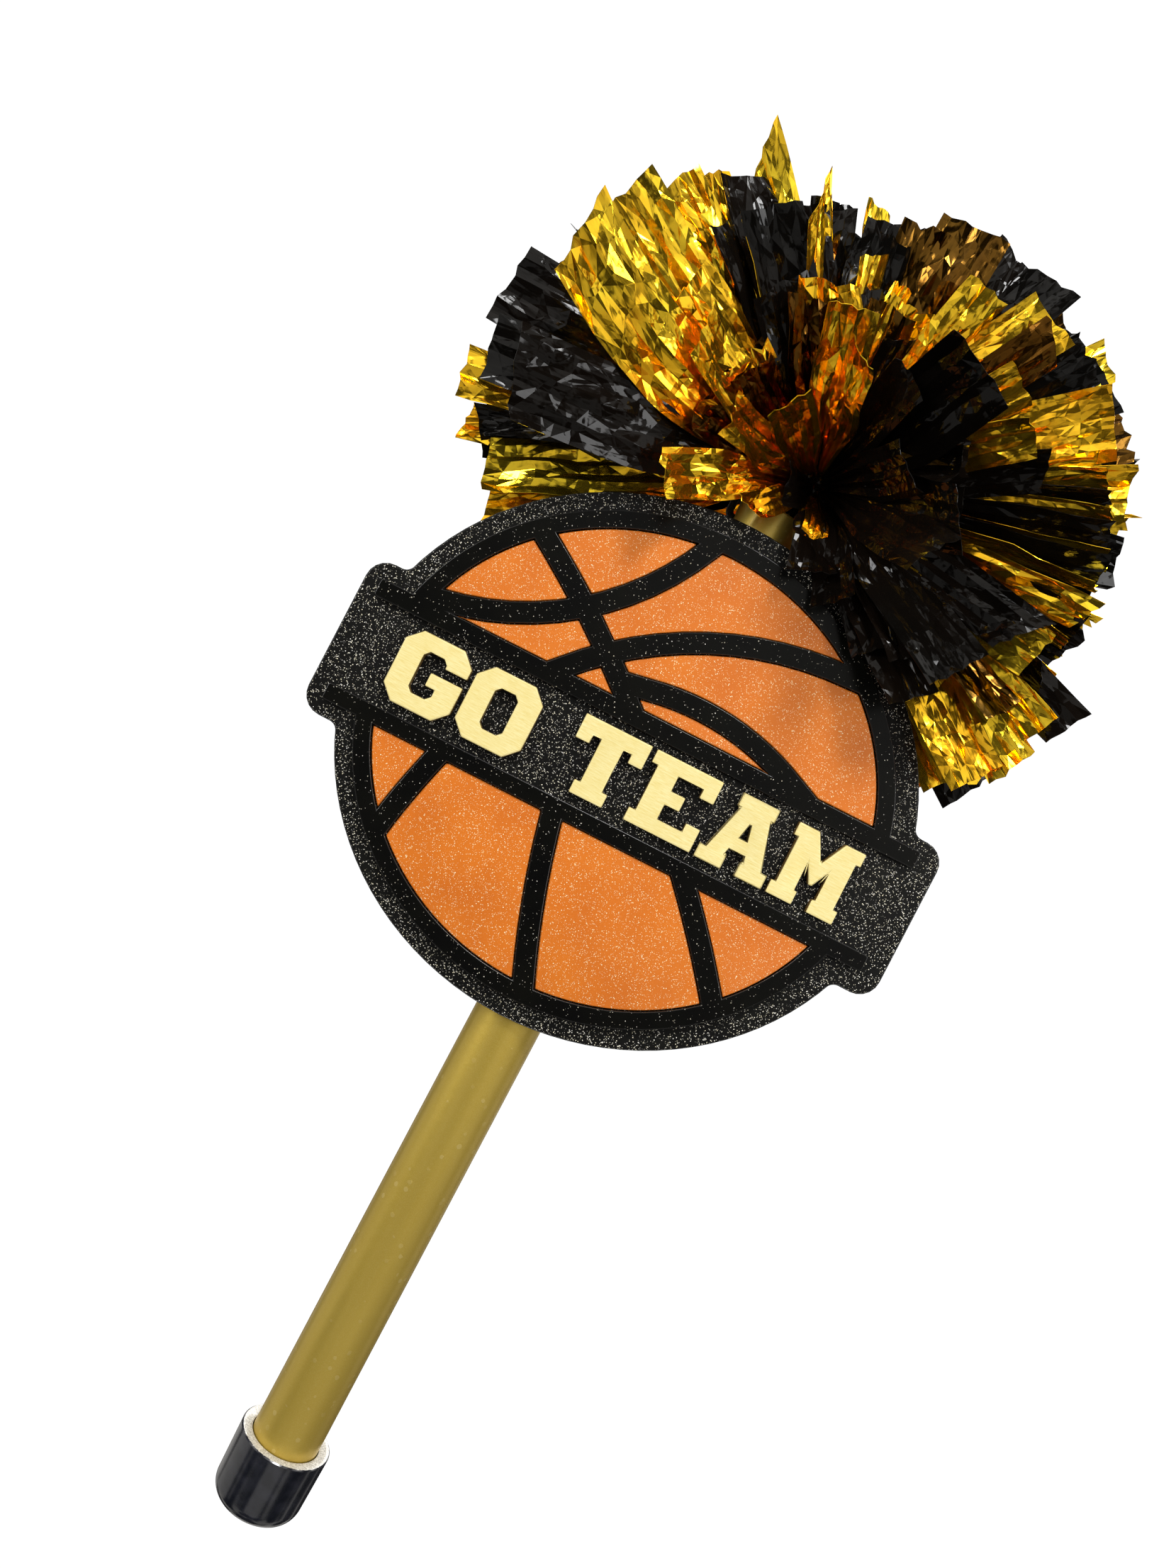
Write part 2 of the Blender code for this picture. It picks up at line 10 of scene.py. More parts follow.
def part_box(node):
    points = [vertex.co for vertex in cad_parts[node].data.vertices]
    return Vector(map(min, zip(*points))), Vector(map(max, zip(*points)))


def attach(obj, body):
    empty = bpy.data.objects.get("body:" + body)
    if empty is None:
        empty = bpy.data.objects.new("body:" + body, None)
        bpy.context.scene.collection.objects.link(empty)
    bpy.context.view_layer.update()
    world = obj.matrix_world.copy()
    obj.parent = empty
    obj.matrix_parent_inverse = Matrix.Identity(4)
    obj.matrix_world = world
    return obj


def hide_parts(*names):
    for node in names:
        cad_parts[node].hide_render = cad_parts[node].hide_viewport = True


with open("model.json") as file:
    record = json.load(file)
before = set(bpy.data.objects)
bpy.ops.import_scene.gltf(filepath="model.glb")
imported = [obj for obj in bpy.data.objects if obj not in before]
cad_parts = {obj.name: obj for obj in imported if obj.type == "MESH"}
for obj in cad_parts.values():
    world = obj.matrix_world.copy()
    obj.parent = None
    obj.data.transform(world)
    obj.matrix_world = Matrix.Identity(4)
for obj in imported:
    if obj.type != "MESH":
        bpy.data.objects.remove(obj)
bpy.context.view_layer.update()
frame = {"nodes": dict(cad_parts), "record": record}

MM = 0.001
GAP = 0.3 * MM                      # between pieces that touch, as in CAD
ROUND_STEPS = 120                   # facets round the tube and the cap

# The pieces' places, from the frame
TUBE_LOW, TUBE_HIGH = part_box("handle_tube")
CAP_LOW, CAP_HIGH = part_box("end_cap")
CORE_LOW, CORE_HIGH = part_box("pom_core")
PLATE_LOW, PLATE_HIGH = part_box("sign_back_plate")
FRAME_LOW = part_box("upper_frame")[0]
KNOT = (CORE_LOW + CORE_HIGH) / 2
TUBE_RADIUS = (TUBE_HIGH.x - TUBE_LOW.x) / 2
TUBE_BORE_RADIUS = 7.9 * MM
TIE_HEIGHT = TUBE_HIGH.z - 6.0 * MM
TIE_HOLE_RADIUS = 2.2 * MM
SIGN_CENTRE = (PLATE_LOW + PLATE_HIGH) / 2
# The camera's distance comes from the tube's width, which was measured 6 to 9 percent too small,
# so the tube looks that much thinner here than in the photo.
CAMERA_PLACE = (-11.7 * MM, -361.7 * MM, 238.5 * MM)
CAMERA_LENS = 27.5
CAMERA_ROLL = math.radians(27.9)    # the stick leans to the right in the picture


# ---------------------------------------------------------------- materials

class Recipe:
    """A material's node tree, built up around its Principled shader."""

    def __init__(self, name, **sockets):
        self.material = bpy.data.materials.new(name)
        self.material.use_nodes = True
        self.tree = self.material.node_tree
        self.shader = self.tree.nodes["Principled BSDF"]
        for socket, value in sockets.items():
            self.shader.inputs[socket.replace("_", " ")].default_value = value
        coordinates = self.tree.nodes.new("ShaderNodeTexCoord")
        self.place = coordinates.outputs["Object"]
        self.strip_place = coordinates.outputs["UV"]

    def add(self, kind, inputs=(), **settings):
        """A new node; inputs maps socket names or numbers to values or to other outputs."""
        item = self.tree.nodes.new(kind)
        for key, value in settings.items():
            setattr(item, key, value)
        for key, value in dict(inputs).items():
            if isinstance(value, bpy.types.NodeSocket):
                self.tree.links.new(value, item.inputs[key])
            else:
                item.inputs[key].default_value = value
        return item

    def to(self, socket, output):
        self.tree.links.new(output, self.shader.inputs[socket])

    def math(self, operation, first, second=0.0, third=0.0):
        inputs = {0: first, 1: second, 2: third}
        return self.add("ShaderNodeMath", inputs, operation=operation).outputs[0]

    def noise(self, scale, detail=2.0, place=None, roughness=0.5):
        inputs = {"Vector": place or self.place, "Scale": scale, "Detail": detail,
                  "Roughness": roughness}
        return self.add("ShaderNodeTexNoise", inputs).outputs["Fac"]

    def cells(self, scale, feature="F1", place=None):
        inputs = {"Vector": place or self.place, "Scale": scale}
        return self.add("ShaderNodeTexVoronoi", inputs, feature=feature)

    def stretched(self, scale, source=None):
        inputs = {"Vector": source or self.place, "Scale": scale}
        return self.add("ShaderNodeMapping", inputs).outputs[0]

    def ramp(self, factor, low, high, start=0.0, end=1.0):
        """Map a factor's range from start to end onto low to high."""
        inputs = {"Value": factor, "From Min": start, "From Max": end,
                  "To Min": low, "To Max": high}
        return self.add("ShaderNodeMapRange", inputs).outputs["Result"]

    def mix(self, factor, first, second):
        item = self.add("ShaderNodeMix", data_type="RGBA")
        for index, value in ((0, factor), (6, first), (7, second)):
            if isinstance(value, bpy.types.NodeSocket):
                self.tree.links.new(value, item.inputs[index])
            else:
                item.inputs[index].default_value = value if index == 0 else (*value, 1.0)
        return item.outputs[2]

    def bump(self, height, strength, distance, normal=None):
        inputs = {"Height": height, "Strength": strength, "Distance": distance}
        if normal:
            inputs["Normal"] = normal
        return self.add("ShaderNodeBump", inputs).outputs["Normal"]

    def specks(self, size, share, dimmest=0.35):
        """Loose glitter flakes: how bright each place is painted, and a random number per flake.
        On glitter this brightness is a painted glint on real flakes; gold_paint uses the same
        specks for dust.
        """
        cells = self.cells(1.0 / size)
        parts = self.add("ShaderNodeSeparateColor", {0: cells.outputs["Color"]})
        chosen = self.math("GREATER_THAN", parts.outputs[0], 1.0 - share)
        bright = self.ramp(parts.outputs[0], dimmest, 1.0, 1.0 - share, 1.0)
        reach = self.ramp(parts.outputs[1], 0.3, 0.52)
        inside = self.math("LESS_THAN", cells.outputs["Distance"], reach)
        speck_and_glint = self.math("MULTIPLY", self.math("MULTIPLY", bright, inside), chosen)
        return speck_and_glint, parts.outputs[2]


def glitter(name, base, dark, flake, pale_flake_glint, share, roughness, coat, gloss, edge_gloss):
    """A glitter sheet: an even ground, scattered large flakes and a dust of small ones. The flakes
    are real, and their near-white base colour is a painted glint.
    """
    recipe = Recipe(name, Coat_Weight=coat, Coat_Roughness=0.15)
    colour = recipe.mix(recipe.ramp(recipe.noise(60.0, 3.0), 0.0, 1.0, 0.3, 0.7), base, dark)
    total = None
    # Painted glint: each flake is painted pale in the base colour, standing in for its sparkle.
    for size, part, dimmest in ((0.34 * MM, 1.0, 0.4), (0.23 * MM, 0.8, 0.1)):
        speck_and_glint, pick = recipe.specks(size, share * part, dimmest)
        colour = recipe.mix(speck_and_glint, colour, recipe.mix(pick, flake, pale_flake_glint))
        total = recipe.math("MAXIMUM", total, speck_and_glint) if total else speck_and_glint
    recipe.to("Base Color", colour)
    recipe.to("Roughness", recipe.ramp(total, roughness, 0.3))
    recipe.to("Normal", recipe.bump(recipe.noise(1500.0, 1.0), 0.2, 0.05 * MM))
    if edge_gloss == gloss:
        recipe.shader.inputs["Specular IOR Level"].default_value = gloss
    else:
        normal = recipe.add("ShaderNodeNewGeometry").outputs["True Normal"]
        facing = recipe.add("ShaderNodeSeparateXYZ", {0: normal}).outputs["Y"]
        recipe.to("Specular IOR Level", recipe.ramp(facing, gloss, edge_gloss, -0.98, -0.85))
    return recipe.material


def brushed_letters():
    """Pale gold faces with a grain along the banner, and dark brown sides that are painted shade.
    """
    recipe = Recipe("pale_gold", Metallic=0.1)
    grain = recipe.noise(1.0, 6.0, recipe.stretched((260.0, 900.0, 2400.0)), 0.75)
    blotch = recipe.noise(120.0, 4.0)
    face = recipe.mix(recipe.ramp(grain, 0.0, 1.0, 0.36, 0.66), (0.86, 0.70, 0.24),
                      (0.98, 0.88, 0.46))
    face = recipe.mix(recipe.ramp(blotch, 0.0, 0.35, 0.45, 0.75), face, (0.82, 0.65, 0.20))
    # Painted shade: the sides, found by which way they face, get a dark brown base colour.
    normal = recipe.add("ShaderNodeNewGeometry").outputs["True Normal"]
    facing = recipe.add("ShaderNodeSeparateXYZ", {0: normal}).outputs["Y"]
    front = recipe.ramp(facing, 0.0, 1.0, -0.35, -0.8)
    recipe.to("Base Color", recipe.mix(front, (0.16, 0.085, 0.012), face))
    recipe.to("Roughness", recipe.ramp(grain, 0.34, 0.52))
    recipe.to("Normal", recipe.bump(grain, 0.35, 0.08 * MM))
    return recipe.material


def gold_paint():
    """Satin metallic spray paint, with a faint orange-peel texture and specks of dust."""
    recipe = Recipe("gold_paint", Metallic=0.7, Coat_Weight=0.3, Coat_Roughness=0.22)
    cloud = recipe.noise(22.0, 4.0)
    flake = recipe.noise(5200.0, 1.0)
    colour = recipe.mix(recipe.ramp(cloud, 0.0, 1.0, 0.3, 0.7), (0.61, 0.43, 0.072),
                        (0.53, 0.365, 0.053))
    colour = recipe.mix(recipe.ramp(flake, 0.0, 0.5, 0.45, 0.75), colour, (0.66, 0.53, 0.14))
    dust, _ = recipe.specks(1.6 * MM, 0.05)
    recipe.to("Base Color", recipe.mix(recipe.math("MULTIPLY", dust, 0.5), colour,
                                       (0.75, 0.60, 0.22)))
    recipe.to("Roughness", recipe.ramp(cloud, 0.38, 0.48, 0.3, 0.7))
    peel = recipe.bump(recipe.noise(420.0, 3.0), 0.16, 0.25 * MM)
    recipe.to("Normal", recipe.bump(dust, 0.5, 0.12 * MM, peel))
    return recipe.material


def cap_paint(rim_height, rim_radius):
    """Gloss black paint that stops, with a ragged edge, short of the bare white rim."""
    recipe = Recipe("black_gloss", Coat_Weight=0.6, Coat_Roughness=0.08)
    parts = recipe.add("ShaderNodeSeparateXYZ", {0: recipe.place}).outputs
    ragged = recipe.math("MULTIPLY", recipe.noise(700.0, 4.0), 0.7 * MM)
    top = recipe.ramp(recipe.math("ADD", parts["Z"], ragged), 0.0, 1.0,
                      rim_height + 0.25 * MM, rim_height + 0.45 * MM)
    reach = recipe.math("SQRT", recipe.math("MULTIPLY_ADD", parts["X"], parts["X"],
                                            recipe.math("MULTIPLY", parts["Y"], parts["Y"])))
    inner = recipe.ramp(recipe.math("ADD", reach, ragged), 1.0, 0.0,
                        rim_radius, rim_radius + 0.2 * MM)
    bare = recipe.math("MULTIPLY", top, inner)
    streak = recipe.noise(260.0, 5.0)
    paint = recipe.mix(recipe.ramp(streak, 0.0, 1.0, 0.4, 0.7), (0.006, 0.007, 0.011),
                       (0.017, 0.018, 0.026))
    plastic = recipe.mix(recipe.ramp(recipe.noise(1900.0, 3.0), 0.0, 1.0, 0.35, 0.7),
                         (0.78, 0.77, 0.72), (0.36, 0.34, 0.31))
    recipe.to("Base Color", recipe.mix(bare, paint, plastic))
    recipe.to("Roughness", recipe.mix(bare, (0.16,) * 3, (0.75,) * 3))
    rough_edge = recipe.bump(recipe.noise(2400.0, 2.0), 0.2, 0.1 * MM)
    recipe.to("Normal", recipe.bump(recipe.noise(90.0, 3.0), 0.15, 0.3 * MM, rough_edge))
    return recipe.material


def foil(name, bright, deep, roughness, metallic, crumple, **sockets):
    """Thin metallic film: creases along the strip, crinkle facets, a tint for each strip, and a
    deeper colour near the knot that is painted shade.
    """
    recipe = Recipe(name, Metallic=metallic, **sockets)
    place = recipe.strip_place
    patch = recipe.noise(0.05, 3.0, place)
    parts = recipe.add("ShaderNodeSeparateXYZ", {0: place})
    index = recipe.math("FLOOR", recipe.math("MULTIPLY_ADD", parts.outputs["X"],
                                             1.0 / STRIP_PITCH, 0.5))
    tint = recipe.add("ShaderNodeTexWhiteNoise", {"W": index},
                      noise_dimensions="1D").outputs["Value"]
    # Painted shade: the colour deepens towards the knot, where the strips crowd together.
    painted_knot_shade = recipe.ramp(parts.outputs["Y"], 0.8, 0.0, 8.0, 70.0)
    mixed = recipe.math("ADD", recipe.math("MULTIPLY_ADD", tint, 0.6, painted_knot_shade),
                        recipe.ramp(patch, -0.2, 0.3, 0.35, 0.65))
    recipe.to("Base Color", recipe.mix(mixed, bright, deep))
    recipe.to("Roughness", recipe.ramp(patch, roughness, roughness + 0.1, 0.35, 0.7))
    lines = recipe.noise(1.0, 1.0, recipe.stretched((0.45, 0.02, 1.0), place), 0.4)
    normal = recipe.bump(lines, 0.14 * crumple, 2.0 * MM)
    for wide, tall, depth in ((0.11, 0.04, 4.5), (0.30, 0.10, 0.6)):
        folded = recipe.cells(1.0, "DISTANCE_TO_EDGE", recipe.stretched((wide, tall, 1.0), place))
        folded.voronoi_dimensions = "2D"
        height = recipe.math("MULTIPLY", folded.outputs["Distance"],
                             recipe.ramp(patch, 0.15, 1.0, 0.36, 0.62))
        normal = recipe.bump(height, crumple, depth * MM, normal)
    recipe.to("Normal", normal)
    return recipe.material


def hot_glue():
    recipe = Recipe("clear_glue", Subsurface_Weight=0.4, Subsurface_Scale=0.002, Coat_Weight=0.4)
    cloud = recipe.noise(160.0, 3.0)
    recipe.to("Base Color", recipe.mix(cloud, (0.80, 0.78, 0.68), (0.62, 0.59, 0.48)))
    recipe.to("Roughness", recipe.ramp(cloud, 0.18, 0.4))
    recipe.to("Normal", recipe.bump(recipe.noise(300.0, 2.0), 0.2, 0.3 * MM))
    return recipe.material


def cord_fibre():
    """Black braided cord: small diagonal ridges that cross, with painted shade in the grooves
    between them.
    """
    recipe = Recipe("black_cord", Sheen_Weight=0.3)
    weave = recipe.cells(1500.0, "DISTANCE_TO_EDGE")
    # Painted shade: the colour is darker where the ridges meet, at the low parts of the bump.
    recipe.to("Base Color", recipe.mix(recipe.ramp(weave.outputs["Distance"], 0.0, 1.0, 0.0, 0.4),
                                       (0.004, 0.004, 0.004), (0.03, 0.028, 0.026)))
    recipe.shader.inputs["Roughness"].default_value = 0.75
    recipe.to("Normal", recipe.bump(weave.outputs["Distance"], 0.6, 0.2 * MM))
    return recipe.material


STRIP_PITCH = 100.0                 # the strips' places across the foil, in millimetres

MATERIALS = {
    "gold_paint": gold_paint(),
    "black_gloss": cap_paint(CAP_HIGH.z - 0.55 * MM, CAP_HIGH.x - 0.15 * MM),
    # The glitter flake colours are near white: painted glints on real flakes.
    "black_glitter": glitter("black_glitter", (0.003, 0.003, 0.003), (0.006, 0.006, 0.005),
                             (1.0, 0.99, 0.95), (1.0, 0.92, 0.66), 0.13, 0.4, 0.0, 0.15, 0.5),
    "black_satin": glitter("black_satin", (0.002, 0.002, 0.002), (0.004, 0.004, 0.003),
                           (0.6, 0.58, 0.54), (0.6, 0.55, 0.40), 0.02, 0.26, 0.0, 0.12, 1.0),
    "orange_glitter": glitter("orange_glitter", (0.74, 0.190, 0.009), (0.66, 0.155, 0.006),
                              (1.0, 0.72, 0.34), (1.0, 0.94, 0.64), 0.15, 0.42, 0.05, 0.5, 0.5),
    "pale_gold": brushed_letters(),
    "clear_glue": hot_glue(),
    "black_cord": cord_fibre(),
    "gold_foil": foil("gold_foil", (1.0, 0.71, 0.04), (0.86, 0.37, 0.010), 0.11, 0.96, 0.5,
                      Specular_Tint=(1.0, 0.62, 0.25, 1.0)),
    # Painted shade: a darkened copy of the gold foil for strips that stand in shade.
    "bronze_foil": foil("bronze_foil", (0.12, 0.062, 0.010), (0.09, 0.035, 0.005), 0.12, 1.0,
                        0.45),
    "black_foil": foil("black_foil", (0.0025, 0.0022, 0.0018), (0.006, 0.0038, 0.0025), 0.04, 0.0,
                       0.35, Specular_IOR_Level=0.16),
}


# ---------------------------------------------------------------- shared mesh tools

def add_piece(name, mesh, slot, body, nodes):
    """Link a finished mesh, give it its slot's material, and put it on its body."""
    mesh.materials.clear()
    mesh.materials.append(MATERIALS[slot])
    item = bpy.data.objects.new(name, mesh)
    bpy.context.scene.collection.objects.link(item)
    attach(item, body)
    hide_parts(*nodes)
    return item


def add_modifier(item, kind, **settings):
    modifier = item.modifiers.new(kind.title(), kind)
    for key, value in settings.items():
        setattr(modifier, key, value)
    return modifier


def apply_modifiers(item):
    """Replace an object's mesh with what its modifiers make of it."""
    bpy.context.view_layer.update()
    graph = bpy.context.evaluated_depsgraph_get()
    made = bpy.data.meshes.new_from_object(item.evaluated_get(graph))
    item.modifiers.clear()
    old = item.data
    item.data = made
    bpy.data.meshes.remove(old)


def merged_nodes(names):
    """One bmesh of several CAD nodes, with their flat faces whole again."""
    form = bmesh.new()
    for name in names:
        form.from_mesh(frame["nodes"][name].data)
    bmesh.ops.remove_doubles(form, verts=form.verts, dist=0.002 * MM)
    bmesh.ops.dissolve_limit(form, angle_limit=math.radians(1.0), verts=form.verts,
                             edges=form.edges)
    return form


def smooth(mesh, angle=40.0):
    mesh.shade_smooth()
    mesh.set_sharp_from_angle(angle=math.radians(angle))


def turned_mesh(name, profile, steps):
    """A closed round mesh from (radius, height) points, spun about Z."""
    form = bmesh.new()
    points = [form.verts.new((radius, 0.0, height)) for radius, height in profile]
    edges = [form.edges.new((a, b)) for a, b in zip(points, points[1:] + points[:1])
             if a.co.x > 0 or b.co.x > 0]
    bmesh.ops.spin(form, geom=points + edges, cent=(0, 0, 0), axis=(0, 0, 1),
                   angle=math.tau, steps=steps, use_merge=True)
    bmesh.ops.remove_doubles(form, verts=form.verts, dist=0.004 * MM)
    bmesh.ops.recalc_face_normals(form, faces=form.faces)
    mesh = bpy.data.meshes.new(name)
    form.to_mesh(mesh)
    form.free()
    return mesh


# ---------------------------------------------------------------- handle

def make_tube():
    """The painted pipe, with softened ends and the two holes that the tie goes through."""
    ease = 0.5 * MM
    low, high = TUBE_LOW.z, TUBE_HIGH.z
    outer, inner = TUBE_RADIUS, TUBE_BORE_RADIUS
    levels = np.linspace(low + ease, high - ease, 60)
    profile = [(outer, z) for z in levels]
    profile += [(outer - ease, high), (inner + ease, high)]
    profile += [(inner, high - ease), (inner, low + ease),
                (inner + ease, low), (outer - ease, low)]
    mesh = turned_mesh("handle_tube_painted", profile, ROUND_STEPS)
    item = add_piece("handle_tube_painted", mesh, "gold_paint", "stick", ["handle_tube"])
    drill = bmesh.new()
    bmesh.ops.create_cone(drill, cap_ends=True, segments=32, radius1=TIE_HOLE_RADIUS,
                          radius2=TIE_HOLE_RADIUS, depth=3 * outer)
    bmesh.ops.transform(drill, matrix=Matrix.Translation((0, 0, TIE_HEIGHT))
                        @ Matrix.Rotation(math.radians(90), 4, "Y"), verts=drill.verts)
    cutter_mesh = bpy.data.meshes.new("drill")
    drill.to_mesh(cutter_mesh)
    drill.free()
    cutter = bpy.data.objects.new("drill", cutter_mesh)
    bpy.context.scene.collection.objects.link(cutter)
    add_modifier(item, "BOOLEAN", operation="DIFFERENCE", object=cutter)
    apply_modifiers(item)
    bpy.data.objects.remove(cutter)
    smooth(item.data)


def make_cap():
    """The slip cap, with its well rounded closed end and its sawn rim."""
    radius = (CAP_HIGH.x - CAP_LOW.x) / 2
    end_radius, rounding = radius - 0.5 * MM, 5.0 * MM
    height, socket = CAP_HIGH.z, TUBE_RADIUS + GAP
    floor = TUBE_LOW.z - GAP
    ease = 0.35 * MM
    corner = [(end_radius - rounding + rounding * math.sin(a), rounding * (1 - math.cos(a)))
              for a in np.linspace(0, math.pi / 2, 15)]
    corner[0] = (end_radius - rounding, 0.0)
    wall = [(end_radius + (radius - end_radius) * (z - rounding) / (height - rounding), z)
            for z in np.linspace(rounding + 1 * MM, height - ease, 12)]
    profile = ([(0.0, 0.0)] + corner + wall
               + [(radius - ease, height), (socket + 2 * ease, height),
                  (socket, height - ease), (socket, floor), (0.0, floor)])
    mesh = turned_mesh("end_cap_painted", profile, ROUND_STEPS)
    smooth(mesh, 30.0)
    add_piece("end_cap_painted", mesh, "black_gloss", "end_cap", ["end_cap"])


# ---------------------------------------------------------------- sign

def make_layer(name, nodes, slot, width, segments=2):
    """A sign layer from its CAD nodes, with the soft cut edges that catch the light."""
    form = merged_nodes(nodes)
    mesh = bpy.data.meshes.new(name)
    form.to_mesh(mesh)
    form.free()
    item = add_piece(name, mesh, slot, "stick", nodes)
    smooth(mesh, 35.0)
    add_modifier(item, "BEVEL", width=width, segments=segments, limit_method="ANGLE",
                 angle_limit=math.radians(35), use_clamp_overlap=False,
                 miter_outer="MITER_SHARP", harden_normals=True)
    apply_modifiers(item)


def make_sign():
    names = sorted(frame["nodes"])
    panels = [name for name in names if name.startswith("panel_")]
    letters = [name for name in names if name.startswith("letter_")]
    make_layer("glitter_back_plate", ["sign_back_plate"], "black_glitter", 0.3 * MM)
    make_layer("seam_frames", ["upper_frame", "lower_frame"], "black_satin", 0.3 * MM)
    make_layer("glitter_panels", panels, "orange_glitter", 0.15 * MM)
    make_layer("banner_letters", letters, "pale_gold", 0.22 * MM)


def make_glue():
    """Hot glue: the CAD beads, swollen and lumpy, with a slow ripple along them."""
    beads = ["glue_bead_left", "glue_bead_right"]
    form = merged_nodes(beads)
    mesh = bpy.data.meshes.new("hot_glue")
    form.to_mesh(mesh)
    form.free()
    item = add_piece("hot_glue", mesh, "clear_glue", "stick", beads)
    add_modifier(item, "REMESH", mode="VOXEL", voxel_size=0.55 * MM)
    add_modifier(item, "SMOOTH", factor=0.5, iterations=6)
    apply_modifiers(item)
    centre_y = (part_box(beads[0])[0].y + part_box(beads[0])[1].y) / 2
    for vert in item.data.vertices:
        side = math.copysign(1.0, vert.co.x)
        swell = noise.noise(Vector((side * 3.0, 0.0, vert.co.z * 120.0))) * 0.6 * MM
        if abs(vert.co.x) > 7.0 * MM:
            vert.co.x += side * swell
        vert.co.y += (vert.co.y - centre_y) * noise.noise(vert.co * 400.0) * 0.1
    item.data.shade_smooth()


def make_tie():
    """The tie keeps its CAD shape and gets a fibre surface."""
    node = frame["nodes"]["pom_tie"]
    node.data.materials.clear()
    node.data.materials.append(MATERIALS["black_cord"])


# ---------------------------------------------------------------- pom

PLEATS = 7                          # folds across a strip
ROWS = 20                           # facets along a strip
STRIP_WIDTH = 20.0                  # this and all other strip sizes are in millimetres
FOIL_THICKNESS = 0.12 * MM
OPENNESS = 0.955                    # how flat a strip lies at its free end; 1 has no folds
BLACK_OPENNESS = 0.985
SIGN_CLEAR = 2.2 * MM               # room left between the foil and the sign
TUBE_CLEAR = 1.8 * MM
SIGN_SEMI_AXES = (86.6 * MM, 80.0 * MM)
TAB_TOP = 30.0 * MM                 # the banner's tabs, with some room around them
TAB_REACH = 97.0 * MM
MOST_SWAY = math.radians(8.5)       # a little more than the joints let the pom sway and nod
MOST_NOD = math.radians(6.5)


def direction(around, lean):
    """A unit vector: around is the angle from +X towards +Z, lean the angle towards +Y."""
    around, lean = math.radians(around), math.radians(lean)
    return np.array([math.cos(around) * math.cos(lean), math.sin(lean),
                     math.sin(around) * math.cos(lean)])


def free_end(around, radius, lean):
    """Where a strip's free end is, from where it appears to somebody at CAMERA_PLACE.

    around and radius place it around the knot as seen; lean takes it back (+) or forward (-).
    """
    seen = np.array(KNOT) + MM * radius * direction(around, 0)
    depth = MM * radius * math.tan(math.radians(lean))
    eye = np.array(CAMERA_PLACE)
    return eye + (seen - eye) * (1 - depth / eye[1])


def near_sign(points, sway):
    """How much a place is over the sign, from 0 to 1, with the pom turned by the angle sway."""
    along = points[..., 0] - KNOT.x
    above = points[..., 2] - KNOT.z
    x = KNOT.x + along * math.cos(sway) + above * math.sin(sway)
    z = KNOT.z - along * math.sin(sway) + above * math.cos(sway)
    across = (x - SIGN_CENTRE.x) / (SIGN_SEMI_AXES[0] + SIGN_CLEAR)
    up = (z - SIGN_CENTRE.z) / (SIGN_SEMI_AXES[1] + SIGN_CLEAR)
    near_disc = (1 - np.hypot(across, up)) / 0.2 + 1
    tab_reach = 1 + (TAB_REACH - np.abs(x - SIGN_CENTRE.x)) / (10 * MM)
    tab_height = 1 + (TAB_TOP - np.abs(z - SIGN_CENTRE.z)) / (10 * MM)
    return ease(np.maximum(near_disc, np.minimum(tab_reach, tab_height)))


def keep_clear(points, front):
    """Move points out of the sign and the tube, wherever the pom sways and nods to.

    They go in front of the sign, or behind it.
    """
    near = np.max([near_sign(points, sway) for sway in (-MOST_SWAY, 0.0, MOST_SWAY)], axis=0)
    aside = np.abs(points[..., 0] - KNOT.x) * math.sin(MOST_SWAY)
    swing = math.sin(MOST_NOD) * np.maximum(TIE_HEIGHT - points[..., 2] + aside, 0.0)
    clear = SIGN_CLEAR + swing
    depth = points[..., 1]
    if front:
        depth[...] = np.minimum(depth, (FRAME_LOW.y - clear) * near + depth * (1 - near))
    else:
        depth[...] = np.maximum(depth, (PLATE_HIGH.y + clear) * near + depth * (1 - near))
    reach = np.hypot(points[..., 0], points[..., 1])
    drop = np.maximum(KNOT.z - points[..., 2], 0.0)
    room = TUBE_RADIUS + TUBE_CLEAR + (math.sin(MOST_SWAY) + math.sin(MOST_NOD)) * drop
    near = (points[..., 2] < TUBE_HIGH.z + 4 * MM) & (reach < room)
    scale = np.where(near, room / np.maximum(reach, 1e-6), 1.0)
    points[..., 0] *= scale
    points[..., 1] *= scale
    return points


def ease(value):
    value = np.clip(value, 0.0, 1.0)
    return value * value * (3 - 2 * value)


def creases(rng, across, along, slope):
    """Heights of a crumpled sheet: overlapping sets of sharp folds, warped so none is straight."""
    phase = rng.uniform(0, math.tau, 8)
    across = across + 1.2 * np.sin(along / 14 + phase[0]) + 0.4 * np.sin(along / 6 + phase[1])
    along = along + 1.5 * np.sin(across / 6 + phase[2]) + 0.6 * np.sin(across / 3 + phase[3])
    total = 0.0
    for turn, wave, share in ((3, 8.5, 1.2), (-5, 6.0, 1.0), (24, 13.0, 0.8), (-30, 11.0, 0.8),
                              (60, 21.0, 0.7), (-68, 17.0, 0.6), (85, 25.0, 0.5)):
        angle = math.radians(turn + rng.uniform(-9, 9))
        length = wave * rng.uniform(0.75, 1.35)
        place = (across * math.cos(angle) + along * math.sin(angle)) / length + rng.random()
        fold = 2 * np.abs(place - np.floor(place + 0.5)) - 0.5
        strength = np.sin(along / (3 * wave) + phase[4]) * np.sin(across / wave + phase[5])
        total = total + share * slope * length * 0.75 * fold * (0.65 + 0.5 * strength)
    return total


